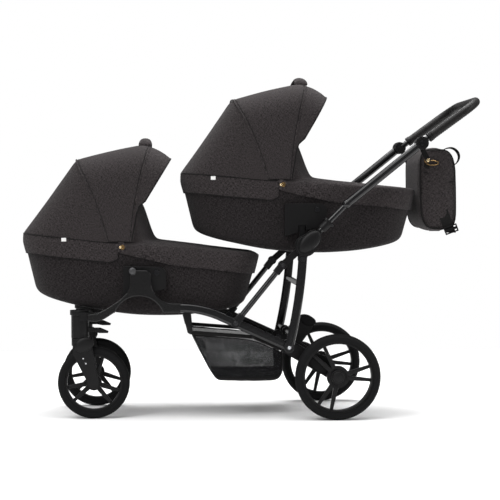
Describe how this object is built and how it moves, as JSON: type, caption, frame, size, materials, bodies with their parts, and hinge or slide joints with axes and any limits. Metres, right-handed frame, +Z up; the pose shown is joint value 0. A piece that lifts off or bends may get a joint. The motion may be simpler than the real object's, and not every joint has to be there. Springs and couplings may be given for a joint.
{
  "type": "tandem twin pram",
  "caption": "Tandem twin pram with two hooded carrycots, one above and behind the other, on a folding four-wheeled chassis with a swing handle, basket and bag.",
  "frame": {"origin": "on the ground, under the middle of the pram's length and width", "axes": "+X towards the pushing handle, +Y to the right-hand side as seen from the handle's far end, +Z up"},
  "size_m": [1.5726, 0.576, 1.1462],
  "materials": {
    "tube_paint": "black powder coat, satin",
    "moulding": "fine grained black moulding",
    "steel": "bright zinc-plated",
    "trim": "satin chrome button",
    "tyre_foam": "black foam tyre",
    "weave": "charcoal brown melange weave",
    "lining": "light warm grey knitted cover",
    "mesh": "black mesh",
    "webbing": "black woven webbing",
    "leather": "black stitched leather",
    "bronze": "satin bronze"
  },
  "bodies": {
    "chassis": {"base_arm_left": "tube_paint", "base_arm_right": "tube_paint", "front_arch_left": "moulding", "front_arch_right": "moulding", "diagonal_tubes": "tube_paint", "rear_legs": "tube_paint", "rear_knuckles": "moulding", "hinge_housings": "moulding", "leg_crossbars": "tube_paint", "rear_axle": "steel", "front_crossbar": "tube_paint", "swivel_columns": "moulding", "basket_frame": "tube_paint", "basket_mesh": "mesh", "frame_rivets": "steel"},
    "handle_frame": {"handle_tubes": "tube_paint", "hub_shells": "moulding"},
    "handle_bar": {"handle_bar": "tube_paint", "handle_grip": "leather"},
    "hub_button_left": {"hub_button_left": "trim"},
    "hub_button_right": {"hub_button_right": "trim"},
    "fold_latches": {"fold_latches": "moulding"},
    "bag": {"bag_body": "weave", "bag_strap": "webbing", "bag_clips": "bronze"},
    "rear_cot": {"rear_cot_tub": "weave", "rear_cot_mattress": "lining", "rear_cot_rim": "moulding", "rear_cot_apron": "weave", "rear_cot_side_plates": "moulding", "rear_cot_snaps": "bronze", "rear_hood_cover": "weave"},
    "rear_hood_front": {"rear_hood_front_bow": "moulding"},
    "rear_hood_mid": {"rear_hood_mid_bow": "moulding"},
    "rear_cot_button_left": {"rear_cot_button_left": "trim"},
    "rear_cot_button_right": {"rear_cot_button_right": "trim"},
    "front_cot": {"front_cot_tub": "weave", "front_cot_mattress": "lining", "front_cot_rim": "moulding", "front_cot_apron": "weave", "front_cot_side_plates": "moulding", "front_cot_snaps": "bronze", "front_hood_cover": "weave"},
    "front_hood_front": {"front_hood_front_bow": "moulding"},
    "front_hood_mid": {"front_hood_mid_bow": "moulding"},
    "front_cot_button_left": {"front_cot_button_left": "trim"},
    "front_cot_button_right": {"front_cot_button_right": "trim"},
    "brake_pedal": {"brake_pedal": "moulding"},
    "swivel_left": {"fork_left": "moulding"},
    "swivel_lock_left": {"swivel_lock_left": "moulding"},
    "swivel_right": {"fork_right": "moulding"},
    "swivel_lock_right": {"swivel_lock_right": "moulding"},
    "rear_wheel_left": {"rear_tyre_left": "tyre_foam", "rear_rim_left": "moulding"},
    "rear_wheel_right": {"rear_tyre_right": "tyre_foam", "rear_rim_right": "moulding"},
    "front_wheel_left": {"front_tyre_left": "tyre_foam", "front_rim_left": "moulding"},
    "front_wheel_right": {"front_tyre_right": "tyre_foam", "front_rim_right": "moulding"}
  },
  "joints": [
    {"name": "handle_fold", "type": "hinge", "parent": "chassis", "child": "handle_frame", "pos_m": [0.183, 0, 0.595], "axis": [0, -1, 0], "range_deg": [0, 85]},
    {"name": "handle_angle", "type": "hinge", "parent": "handle_frame", "child": "handle_bar", "pos_m": [0.569, 0, 0.932], "axis": [0, -1, 0], "range_deg": [0, 30]},
    {"name": "hub_button_left", "type": "slide", "parent": "handle_frame", "child": "hub_button_left", "axis": [0, 1, 0], "range_m": [0, 0.004], "stiffness_N_per_m": 400},
    {"name": "hub_button_right", "type": "slide", "parent": "handle_frame", "child": "hub_button_right", "axis": [0, -1, 0], "range_m": [0, 0.004], "stiffness_N_per_m": 400},
    {"name": "fold_latch", "type": "slide", "parent": "handle_frame", "child": "fold_latches", "axis": [0.7071, 0, 0.7071], "range_m": [0, 0.02], "stiffness_N_per_m": 300},
    {"name": "bag_lift_off", "type": "slide", "parent": "chassis", "child": "bag", "axis": [1, 0, 0], "range_m": [0, 0.25]},
    {"name": "rear_cot_lift", "type": "slide", "parent": "chassis", "child": "rear_cot", "axis": [0, 0, 1], "range_m": [0, 0.12]},
    {"name": "front_cot_lift", "type": "slide", "parent": "chassis", "child": "front_cot", "axis": [0, 0, 1], "range_m": [0, 0.12]},
    {"name": "rear_hood_fold", "type": "hinge", "parent": "rear_cot", "child": "rear_hood_front", "pos_m": [0.097, 0, 0.8095], "axis": [0, -1, 0], "range_deg": [0, 70], "deforming": ["rear_hood_cover"]},
    {"name": "rear_hood_mid_fold", "type": "hinge", "parent": "rear_cot", "child": "rear_hood_mid", "pos_m": [0.097, 0, 0.8095], "axis": [0, -1, 0], "range_deg": [0, 40]},
    {"name": "rear_cot_release_left", "type": "slide", "parent": "rear_cot", "child": "rear_cot_button_left", "axis": [0, 1, 0], "range_m": [0, 0.003], "stiffness_N_per_m": 400},
    {"name": "rear_cot_release_right", "type": "slide", "parent": "rear_cot", "child": "rear_cot_button_right", "axis": [0, -1, 0], "range_m": [0, 0.003], "stiffness_N_per_m": 400},
    {"name": "front_hood_fold", "type": "hinge", "parent": "front_cot", "child": "front_hood_front", "pos_m": [-0.44564, 0, 0.59868], "axis": [0, -1, 0], "range_deg": [0, 70], "deforming": ["front_hood_cover"]},
    {"name": "front_hood_mid_fold", "type": "hinge", "parent": "front_cot", "child": "front_hood_mid", "pos_m": [-0.44564, 0, 0.59868], "axis": [0, -1, 0], "range_deg": [0, 40]},
    {"name": "front_cot_release_left", "type": "slide", "parent": "front_cot", "child": "front_cot_button_left", "axis": [0, 1, 0], "range_m": [0, 0.003], "stiffness_N_per_m": 400},
    {"name": "front_cot_release_right", "type": "slide", "parent": "front_cot", "child": "front_cot_button_right", "axis": [0, -1, 0], "range_m": [0, 0.003], "stiffness_N_per_m": 400},
    {"name": "brake_press", "type": "hinge", "parent": "chassis", "child": "brake_pedal", "pos_m": [0.1291, 0, 0.282], "axis": [0, 1, 0], "range_deg": [0, 25]},
    {"name": "swivel_left", "type": "hinge", "parent": "chassis", "child": "swivel_left", "pos_m": [-0.584, -0.172, 0.274], "axis": [0, 0, 1], "continuous": true},
    {"name": "swivel_lock_left", "type": "hinge", "parent": "chassis", "child": "swivel_lock_left", "pos_m": [-0.546, -0.172, 0.302], "axis": [0, -1, 0], "range_deg": [0, 20]},
    {"name": "rear_wheel_spin_left", "type": "hinge", "parent": "chassis", "child": "rear_wheel_left", "pos_m": [0.283, -0.265, 0.145], "axis": [0, 1, 0], "continuous": true},
    {"name": "front_wheel_spin_left", "type": "hinge", "parent": "swivel_left", "child": "front_wheel_left", "pos_m": [-0.538, -0.172, 0.122], "axis": [0, 1, 0], "continuous": true},
    {"name": "swivel_right", "type": "hinge", "parent": "chassis", "child": "swivel_right", "pos_m": [-0.584, 0.172, 0.274], "axis": [0, 0, 1], "continuous": true},
    {"name": "swivel_lock_right", "type": "hinge", "parent": "chassis", "child": "swivel_lock_right", "pos_m": [-0.546, 0.172, 0.302], "axis": [0, -1, 0], "range_deg": [0, 20]},
    {"name": "rear_wheel_spin_right", "type": "hinge", "parent": "chassis", "child": "rear_wheel_right", "pos_m": [0.283, 0.265, 0.145], "axis": [0, 1, 0], "continuous": true},
    {"name": "front_wheel_spin_right", "type": "hinge", "parent": "swivel_right", "child": "front_wheel_right", "pos_m": [-0.538, 0.172, 0.122], "axis": [0, 1, 0], "continuous": true}
  ],
  "couplings": [
    {"joint": "bag_lift_off", "follows": "handle_fold", "m_per_rad": 0.165},
    {"joint": "front_cot_lift", "follows": "rear_cot_lift", "ratio": 1},
    {"joint": "rear_hood_mid_fold", "follows": "rear_hood_fold", "ratio": 0.55},
    {"joint": "front_hood_mid_fold", "follows": "front_hood_fold", "ratio": 0.55}
  ]
}
